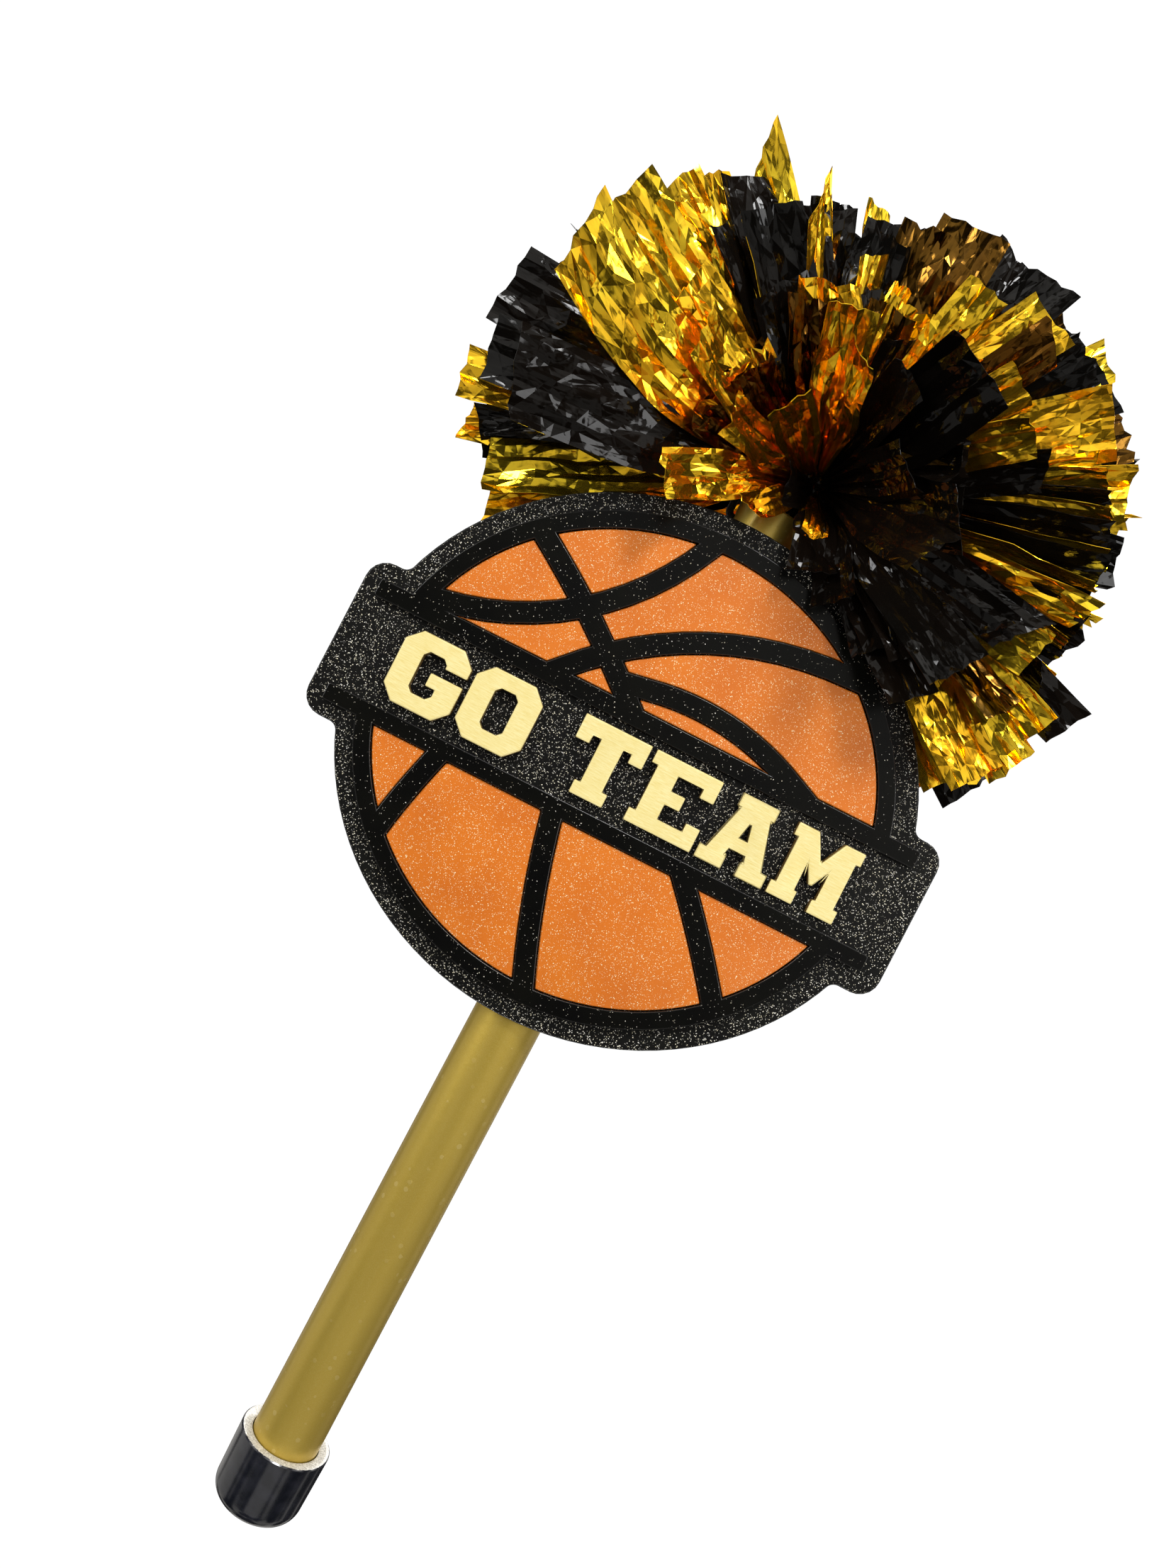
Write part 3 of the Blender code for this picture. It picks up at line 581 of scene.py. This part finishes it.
class Foil:
    """Gathers strips of one colour into one mesh."""

    def __init__(self):
        self.points, self.faces, self.places = [], [], []
        self.count = 0

    def add(self, grid, place):
        """Add a sheet of points as triangles, its diagonals now one way and now the other."""
        rows, columns = grid.shape[:2]
        number = self.count + np.arange(rows * columns).reshape(rows, columns)
        a, b, c, d = (part.ravel() for part in (number[:-1, :-1], number[:-1, 1:],
                                                number[1:, 1:], number[1:, :-1]))
        other = ((a * 7 + a // 5) % 3 == 0)[:, None]
        self.faces.append(np.where(other, np.stack([a, b, d], -1), np.stack([a, b, c], -1)))
        self.faces.append(np.where(other, np.stack([b, c, d], -1), np.stack([a, c, d], -1)))
        self.points.append(grid.reshape(-1, 3))
        self.places.append(place.reshape(-1, 2))
        self.count += rows * columns

    def mesh(self, name):
        mesh = bpy.data.meshes.new(name)
        mesh.from_pydata(np.concatenate(self.points).tolist(), [],
                         np.concatenate(self.faces).tolist())
        places = np.concatenate(self.places)
        corners = np.zeros(len(mesh.loops), np.int32)
        mesh.loops.foreach_get("vertex_index", corners)
        layer = mesh.uv_layers.new(name="strip")
        layer.data.foreach_set("uv", places[corners].astype(np.float32).ravel())
        mesh.update()
        return mesh


def strip_sheet(rng, around, radius, lean, roll, width, bend, sweep, slope, number, front,
                gather=0.28, openness=OPENNESS, twist=0.0, ragged=0.35, slant=0.0, start=5.0):
    """The points of one strip, pleated at the knot and opening out to its free end.

    around, radius and lean say where its free end appears, as free_end takes them.
    roll turns the strip about its length: at 0 it faces the front, at 90 it is edge-on.
    bend and sweep are how far its free end strays forward and sideways.
    twist turns it further towards its free end, and slant cuts that end at an angle.
    """
    forward = (free_end(around, radius, lean) - np.array(KNOT)) / MM
    length = np.linalg.norm(forward)
    forward /= length
    folds = np.linspace(-1, 1, PLEATS + 1)
    folds[1:-1] += rng.uniform(-0.4, 0.4, PLEATS - 1) / PLEATS
    along = np.linspace(0, 1, ROWS + 1)[:, None] * np.ones((1, PLEATS + 1))
    along[1:-1] += rng.uniform(-0.4, 0.4, (ROWS - 1, PLEATS + 1)) / ROWS
    across = folds[None, :] * np.ones((ROWS + 1, 1))
    across[:, 1:-1] += rng.uniform(-0.3, 0.3, (ROWS + 1, PLEATS - 1)) / PLEATS * along[:, 1:-1]
    opened = gather + (openness - gather) * ease(along / 0.6)
    heights = np.where(np.arange(PLEATS + 1) % 2, 0.5, -0.5) * rng.uniform(0.6, 1.3, PLEATS + 1)
    depth = width / PLEATS * np.sqrt(np.clip(1 - opened ** 2, 0.01, 1))
    height = depth * heights[None, :]
    height += creases(rng, across * width / 2, along * length, slope) * (0.15 + 0.85 * along)
    wander = rng.uniform(0, math.tau, 3)
    height += bend * along ** 2 + 1.5 * along * np.sin(along * 5 + wander[0] + 1.2 * across)
    side = width / 2 * across * opened + sweep * along ** 2
    side += 1.2 * along * np.sin(along * 4 + wander[1])
    notch = rng.normal(0, ragged, PLEATS + 1) + rng.normal(0, 1.2) * folds
    notch += slant * (folds - math.copysign(1.0, slant)) / 2
    reach = start + (length - start) * along + notch[None, :] * along ** 4
    sideways = direction(around + 90, 0)
    outward = np.cross(forward, sideways)
    outward /= np.linalg.norm(outward)
    if outward[1] > 0:
        outward = -outward
    sideways = np.cross(outward, forward)
    turn = math.radians(roll) + math.radians(twist) * along
    cos, sin = np.cos(turn)[..., None], np.sin(turn)[..., None]
    wide = cos * sideways + sin * outward
    high = cos * outward - sin * sideways
    points = (np.array(KNOT) + MM * (reach[..., None] * forward + side[..., None] * wide
                                     + height[..., None] * high))
    place = np.stack([across * width / 2 + number * STRIP_PITCH, along * length], axis=-1)
    return keep_clear(points, front), place


# Strips that can be told apart: colour, around, radius, lean and roll as strip_sheet takes
# them, then width, bend, sweep and how crumpled it is
SINGLE_STRIPS = (
    # left, from the sign's shoulder up
    ("gold", 203, 47, -32, -6, 15, 2, 0, 0.14),
    ("black", 188, 98, -22, -8, 25, 3, -1, 0.06),
    ("gold", 190, 112, -8, 10, 16, 2, -1, 0.16),
    ("black", 185, 107, -12, 6, 20, 0, -1, 0.06),
    ("black", 174, 111, -6, 4, 25, 2, 1, 0.07),
    ("bronze", 167, 103, -2, 16, 14, 0, 0, 0.14),
    ("gold", 176, 100, -24, -10, 25, 4, -24, 0.20),
    ("gold", 164, 99, -18, 10, 20, 2, -4, 0.18),
    ("gold", 151, 106, -12, -4, 19, 3, 0, 0.10),
    ("gold", 152, 72, -22, 16, 18, 2, -3, 0.20),
    ("bronze", 146, 42, -34, -12, 14, 2, 0, 0.16),
    ("gold", 160, 58, -30, 12, 18, 2, -6, 0.20),
    ("gold", 145, 96, -8, 14, 18, 0, 1, 0.16),
    ("gold", 140, 102, -6, -22, 12, 0, 1, 0.14),
    ("gold", 135, 99, -2, 24, 10, 0, 1, 0.14),
    ("black", 138, 84, -14, 40, 12, 0, 0, 0.12),
    # top left
    ("black", 131, 97, -8, 20, 16, 0, 0, 0.10),
    ("black", 126, 86, -16, -6, 18, 0, 0, 0.12),
    ("black", 121, 85, -14, 6, 18, 0, 0, 0.10),
    ("black", 128, 62, -24, 20, 18, 0, 0, 0.12),
    ("gold", 105, 86, -1, 20, 9, 0, 0, 0.10),
    ("black", 100, 83, -3, 6, 18, 0, 0, 0.08),
    ("black", 106, 76, -10, -10, 15, 0, 0, 0.10),
    ("gold", 103, 72, -16, 34, 12, 0, 0, 0.10),
    ("gold", 95, 66, -18, -40, 9, 0, 0, 0.10),
    ("gold", 107, 55, -47, 6, 14, 1, 0, 0.10),
    ("bronze", 113, 46, -32, 24, 12, 1, 0, 0.14),
    ("gold", 98, 44, -51, -30, 11, 1, 0, 0.12),
    # top
    ("bronze", 86, 91, -9, -4, 22, 4, -1, 0.12),
    ("gold", 93, 62, -24, 40, 10, 0, 0, 0.12),
    ("black", 88, 52, -38, 50, 10, 0, 0, 0.12),
    ("black", 76, 94, -1, 14, 20, -2, -1, 0.10),
    ("black", 68, 93, 1, -14, 22, 4, 1, 0.10),
    ("gold", 77, 79, -16, 30, 15, 1, 1, 0.12),
    ("gold", 72, 62, -34, 30, 11, 1, 0, 0.12),
    ("gold", 64, 88, -11, -8, 20, 1, -1, 0.08),
    ("bronze", 58, 84, -14, 20, 15, 0, 1, 0.10),
    ("gold", 51, 97, 0, 16, 14, 0, 0, 0.10),
    ("black", 47, 93, -6, -8, 18, 2, 0, 0.10),
    ("black", 62, 63, -46, 4, 24, 2, 0, 0.06),
    ("black", 76, 44, -50, -26, 14, 1, 0, 0.10),
    # right
    ("gold", 55, 70, -31, 20, 14, 1, 0, 0.10),
    ("gold", 39, 92, -14, 10, 22, 2, 1, 0.10),
    ("gold", 42, 68, -32, 34, 14, 1, 0, 0.12),
    ("black", 31, 70, -27, 30, 13, 1, 0, 0.10),
    ("gold", 28, 88, -17, 34, 11, 0, 0, 0.10),
    ("black", 24, 88, -18, 52, 16, 1, -1, 0.10),
    ("gold", 21, 90, -19, 44, 9, 0, 0, 0.10),
    ("black", 17, 90, -18, 58, 16, 0, 0, 0.08),
    ("gold", 14, 91, -20, 52, 8, 0, 0, 0.08),
    ("black", 10, 90, -19, 60, 17, 0, 0, 0.08),
    ("gold", 8, 90, -21, 58, 7, 0, 0, 0.08),
    ("gold", 2, 91, -22, 44, 11, 0, 0, 0.14),
    ("black", -2, 90, -18, 56, 18, 0, 0, 0.08),
    ("gold", -5, 89, -20, 58, 7, 0, 0, 0.08),
    ("gold", -10, 84, -25, 20, 15, 1, 0, 0.10),
    ("black", -13, 90, -17, 62, 16, 0, 0, 0.10),
    ("black", -15, 106, -8, 8, 15, -2, 0, 0.12),
    ("gold", -20, 100, -12, 48, 16, 1, 0, 0.14),
    ("bronze", -22, 88, -18, -40, 16, 0, 0, 0.14),
    ("gold", -27, 104, -14, 20, 16, 2, 1, 0.14),
    ("gold", -33, 101, -14, -6, 18, 2, 0, 0.12),
    ("black", -24, 70, -30, -14, 18, 0, 0, 0.10),
    # facing the front, round the middle
    ("black", 16, 44, -54, 20, 18, 0, 0, 0.12),
    ("black", 0, 42, -55, -20, 16, 0, 0, 0.12),
    ("black", 40, 30, -62, 10, 15, 0, 0, 0.12),
    ("gold", 138, 27, -58, -16, 13, 0, 0, 0.14),
    ("gold", 168, 34, -46, 14, 14, 0, 0, 0.16),
    ("bronze", 112, 30, -48, 4, 11, 0, 0, 0.14),
    ("gold", 226, 20, -50, 0, 9, 0, 0, 0.12),
)
STRIPS_BEHIND_SIGN = (
    ("gold", 203, 100, 0, 8, 17, 0, 1, 0.14),
    ("gold", 197, 108, 3, 12, 14, 0, -1, 0.14),
    ("gold", 210, 99, 5, -14, 16, 0, -1, 0.14),
    ("black", 199, 103, 2, -10, 16, 0, 0, 0.10),
    ("gold", -38, 98, 0, 6, 20, 0, 1, 0.12),
    ("gold", -43, 96, 3, 10, 18, 0, 0, 0.08),
    ("black", -37, 103, 7, 6, 18, 0, 1, 0.12),
)
STRIPS_OVER_SIGN = (
    ("black", -44, 53, -26, 10, 13, 0, 1, 0.12),
    ("black", -37, 70, -24, -10, 15, 0, 0, 0.12),
    ("black", -30, 60, -28, -16, 16, 0, 0, 0.14),
    ("black", -54, 36, -34, 16, 13, 0, 0, 0.14),
    ("black", -66, 24, -46, -10, 14, 0, 0, 0.16),
    ("gold", -66, 14, -54, -24, 8, 0, 0, 0.20),
    ("black", 200, 9, -72, 10, 13, 0, 0, 0.12),
)

# Strips with a twist and a slanting end, which are the last two numbers
STRAY_STRIPS = (
    ("gold", 123, 110, -5, 10, 13, 2, 5, 0.05, -50, -14),
    ("gold", 117, 98, -15, 24, 12, 1, 0, 0.10, 10, -16),
    ("black", -7, 85, -27, 6, 15, 2, 0, 0.06, 0, 12),
    ("black", 160, 107, 0, 30, 8, 0, 0, 0.08, 0, 16),
)

# Bunches of strips: colours in turn, count, first and last angle around, first and last
# lean, least and most roll, length, and how crumpled they are
BUNCHES = (
    ("bgbgbbg", 20, -22, 32, -14, 8, 44, 80, 91, 0.10),
    ("bgbz", 9, 20, 64, -12, 12, -50, 50, 88, 0.12),
    ("bzbg", 10, 64, 112, -12, 12, -50, 50, 83, 0.12),
    ("bbg", 8, 112, 140, -10, 12, -60, 60, 86, 0.12),
    ("gzg", 6, 140, 168, -8, 10, -40, 40, 92, 0.16),
    ("bbg", 5, 168, 196, -4, 14, -40, 40, 98, 0.18),
    ("gzb", 6, -40, -20, 0, 14, -60, 60, 94, 0.20),
    ("bbg", 4, 14, 50, -44, -30, -40, 40, 56, 0.12),
    ("gzb", 5, 86, 120, -30, -14, -50, 50, 66, 0.18),
    ("gz", 4, 142, 176, -34, -20, -50, 50, 46, 0.30),
)
REAR_BUNCHES = (
    ("gb", 12, -40, 60, 18, 46, -36, 36, 87, 0.14),
    ("bg", 12, 60, 150, 18, 46, -36, 36, 85, 0.14),
    ("gb", 8, 150, 214, 16, 44, -36, 36, 91, 0.14),
    ("bg", 8, 216, 320, 40, 60, -20, 20, 84, 0.18),
    ("gb", 10, 0, 360, 58, 82, -30, 30, 78, 0.18),
)


def make_strips(name, singles, strays, bunches, nodes_by_colour, seed, front):
    """One part of the pom: a piece for the strips of each colour."""
    rng = np.random.default_rng(seed)
    sheets = {"gold": Foil(), "bronze": Foil(), "black": Foil()}
    number = 0
    for colour, around, radius, lean, roll, width, bend, sweep, slope in singles:
        number += 1
        openness = BLACK_OPENNESS if colour == "black" else OPENNESS
        sheets[colour].add(*strip_sheet(rng, around, radius, lean, roll, width, bend, sweep,
                                        slope, number, front, openness=openness))
    for (colour, around, radius, lean, roll, width, bend, sweep, slope, twist,
         slant) in strays:
        number += 1
        sheets[colour].add(*strip_sheet(rng, around, radius, lean, roll, width, bend, sweep,
                                        slope, number, front, twist=twist, slant=slant))
    for colours, count, first, last, lean_low, lean_high, *rolls, length, slope in bunches:
        for index in range(count):
            number += 1
            colour = {"g": "gold", "z": "bronze", "b": "black"}[colours[index % len(colours)]]
            around = first + (last - first) * (index + rng.uniform(0.2, 0.8)) / count
            lean = rng.uniform(lean_low, lean_high)
            radius = length * rng.uniform(0.93, 1.05) * math.cos(math.radians(lean))
            sheets[colour].add(*strip_sheet(
                rng, around, radius, lean, rng.uniform(*rolls),
                STRIP_WIDTH * rng.uniform(0.8, 1.1), rng.uniform(-5, 5), rng.uniform(-4, 4),
                slope * rng.uniform(0.7, 1.2), number, front, rng.uniform(0.2, 0.36),
                rng.uniform(0.84, 0.95), rng.uniform(-18, 18), 0.8))
    for colour, sheet in sheets.items():
        if sheet.count == 0:
            continue
        title = f"{colour}_strips_{name}"
        slot = "black_foil" if colour == "black" else "gold_foil"
        item = add_piece(title, sheet.mesh(title), slot, "pom", nodes_by_colour.get(colour, []))
        # The darkened gold strips take their own copy of the gold foil, painted dark as painted
        # shade.
        item.data.materials[0] = MATERIALS[f"{colour}_foil"]
        add_modifier(item, "SOLIDIFY", thickness=FOIL_THICKNESS, offset=0.0)
        apply_modifiers(item)


def foil_nodes():
    """The pom's CAD tufts, sorted by the part of the pom they are in and by their colour."""
    slots = {part["node"]: part["material_slot"] for part in frame["record"]["subparts"]}
    sorted_nodes = {}
    for name, slot in slots.items():
        if not name.startswith(("tuft_", "long_strip")):
            continue
        rear = name.startswith(("tuft_back", "tuft_rear", "tuft_under"))
        place = "rear" if rear else "front"
        colour = slot.replace("_foil", "")
        sorted_nodes.setdefault(place, {}).setdefault(colour, []).append(name)
    return sorted_nodes


def make_core():
    """The crumpled middle of the foil, where every strip is gathered."""
    form = bmesh.new()
    bmesh.ops.create_icosphere(form, subdivisions=4, radius=1.0)
    radius = (CORE_HIGH.z - CORE_LOW.z) / 2
    for vert in form.verts:
        ray = vert.co.normalized()
        ridge = noise.voronoi(ray * 2.6)[0][0]
        swell = 0.50 + 0.36 * ridge + 0.05 * noise.noise(ray * 7.0)
        vert.co = Vector(KNOT) + ray * radius * swell
    mesh = bpy.data.meshes.new("crumpled_core")
    form.to_mesh(mesh)
    layer = mesh.uv_layers.new(name="strip")
    for loop in mesh.loops:
        point = (mesh.vertices[loop.vertex_index].co - Vector(KNOT)) / MM
        layer.data[loop.index].uv = (point.x + point.y, point.z)
    form.free()
    add_piece("crumpled_core", mesh, "black_foil", "pom", ["pom_core"])


def make_pom():
    nodes = foil_nodes()
    make_core()
    make_strips("front", SINGLE_STRIPS, STRAY_STRIPS, BUNCHES, nodes["front"], 11, True)
    make_strips("behind_sign", STRIPS_BEHIND_SIGN, (), (), {}, 12, False)
    make_strips("over_sign", STRIPS_OVER_SIGN, (), (), {}, 13, True)
    make_strips("rear", (), (), REAR_BUNCHES, nodes["rear"], 14, False)


# ---------------------------------------------------------------- stage

def make_camera():
    data = bpy.data.cameras.new("camera")
    data.lens = CAMERA_LENS
    data.sensor_width = 36.0
    data.clip_start = 0.01
    camera = bpy.data.objects.new("camera", data)
    bpy.context.scene.collection.objects.link(camera)
    camera.location = CAMERA_PLACE
    look = Matrix.Rotation(math.radians(90), 4, "X")
    camera.rotation_euler = (Matrix.Rotation(-CAMERA_ROLL, 4, "Y") @ look).to_euler()
    bpy.context.scene.camera = camera


def make_light(name, place, target, size, power, colour=(1.0, 1.0, 1.0)):
    data = bpy.data.lights.new(name, "AREA")
    data.shape = "RECTANGLE"
    data.size, data.size_y = size
    data.energy = power
    data.color = colour
    light = bpy.data.objects.new(name, data)
    bpy.context.scene.collection.objects.link(light)
    light.location = place
    light.rotation_euler = (Vector(target) - Vector(place)).to_track_quat("-Z", "Y").to_euler()


def make_world():
    """White behind the object, and a room with bright and dark parts to light it."""
    world = bpy.data.worlds.new("world")
    world.use_nodes = True
    tree = world.node_tree

    def link(output, item, socket):
        tree.links.new(output, item.inputs[socket])

    def ramp(value, start, end, low, high):
        item = tree.nodes.new("ShaderNodeMapRange")
        item.interpolation_type = "SMOOTHSTEP"
        for socket, number in (("From Min", start), ("From Max", end), ("To Min", low),
                               ("To Max", high)):
            item.inputs[socket].default_value = number
        link(value, item, "Value")
        return item.outputs[0]

    room = tree.nodes["Background"]
    seen = tree.nodes.new("ShaderNodeBackground")
    seen.inputs["Strength"].default_value = 1.05
    seen.inputs["Color"].default_value = (1.0, 1.0, 1.0, 1.0)
    coordinates = tree.nodes.new("ShaderNodeTexCoord")
    parts = tree.nodes.new("ShaderNodeSeparateXYZ")
    link(coordinates.outputs["Generated"], parts, 0)
    clutter = tree.nodes.new("ShaderNodeTexNoise")
    clutter.inputs["Scale"].default_value = 2.6
    clutter.inputs["Detail"].default_value = 1.0
    link(coordinates.outputs["Generated"], clutter, "Vector")
    level = tree.nodes.new("ShaderNodeMath")
    level.operation = "MULTIPLY"
    link(ramp(clutter.outputs["Fac"], 0.45, 0.57, 0.05, 1.55), level, 0)
    link(ramp(parts.outputs["Z"], -0.5, 0.8, 0.35, 0.9), level, 1)
    link(level.outputs[0], room, "Strength")
    room.inputs["Color"].default_value = (1.0, 0.97, 0.92, 1.0)
    path = tree.nodes.new("ShaderNodeLightPath")
    mix = tree.nodes.new("ShaderNodeMixShader")
    link(path.outputs["Is Camera Ray"], mix, 0)
    link(room.outputs[0], mix, 1)
    link(seen.outputs[0], mix, 2)
    link(mix.outputs[0], tree.nodes["World Output"], "Surface")
    bpy.context.scene.world = world


def make_stage():
    target = (0.0, 0.0, 0.25)
    make_world()
    make_light("key", (0.12, -0.75, 1.20), target, (0.28, 0.22), 8.0)
    make_light("left", (-1.00, -0.70, 0.45), target, (0.16, 0.6), 6.0)
    make_light("right", (0.75, -0.80, 0.50), target, (0.22, 0.45), 2.6)
    make_light("back", (0.2, 0.8, 0.8), target, (0.5, 0.5), 6.0)
    bpy.context.scene.view_settings.view_transform = "Standard"


make_camera()
make_stage()
make_tube()
make_cap()
make_sign()
make_glue()
make_tie()
make_pom()
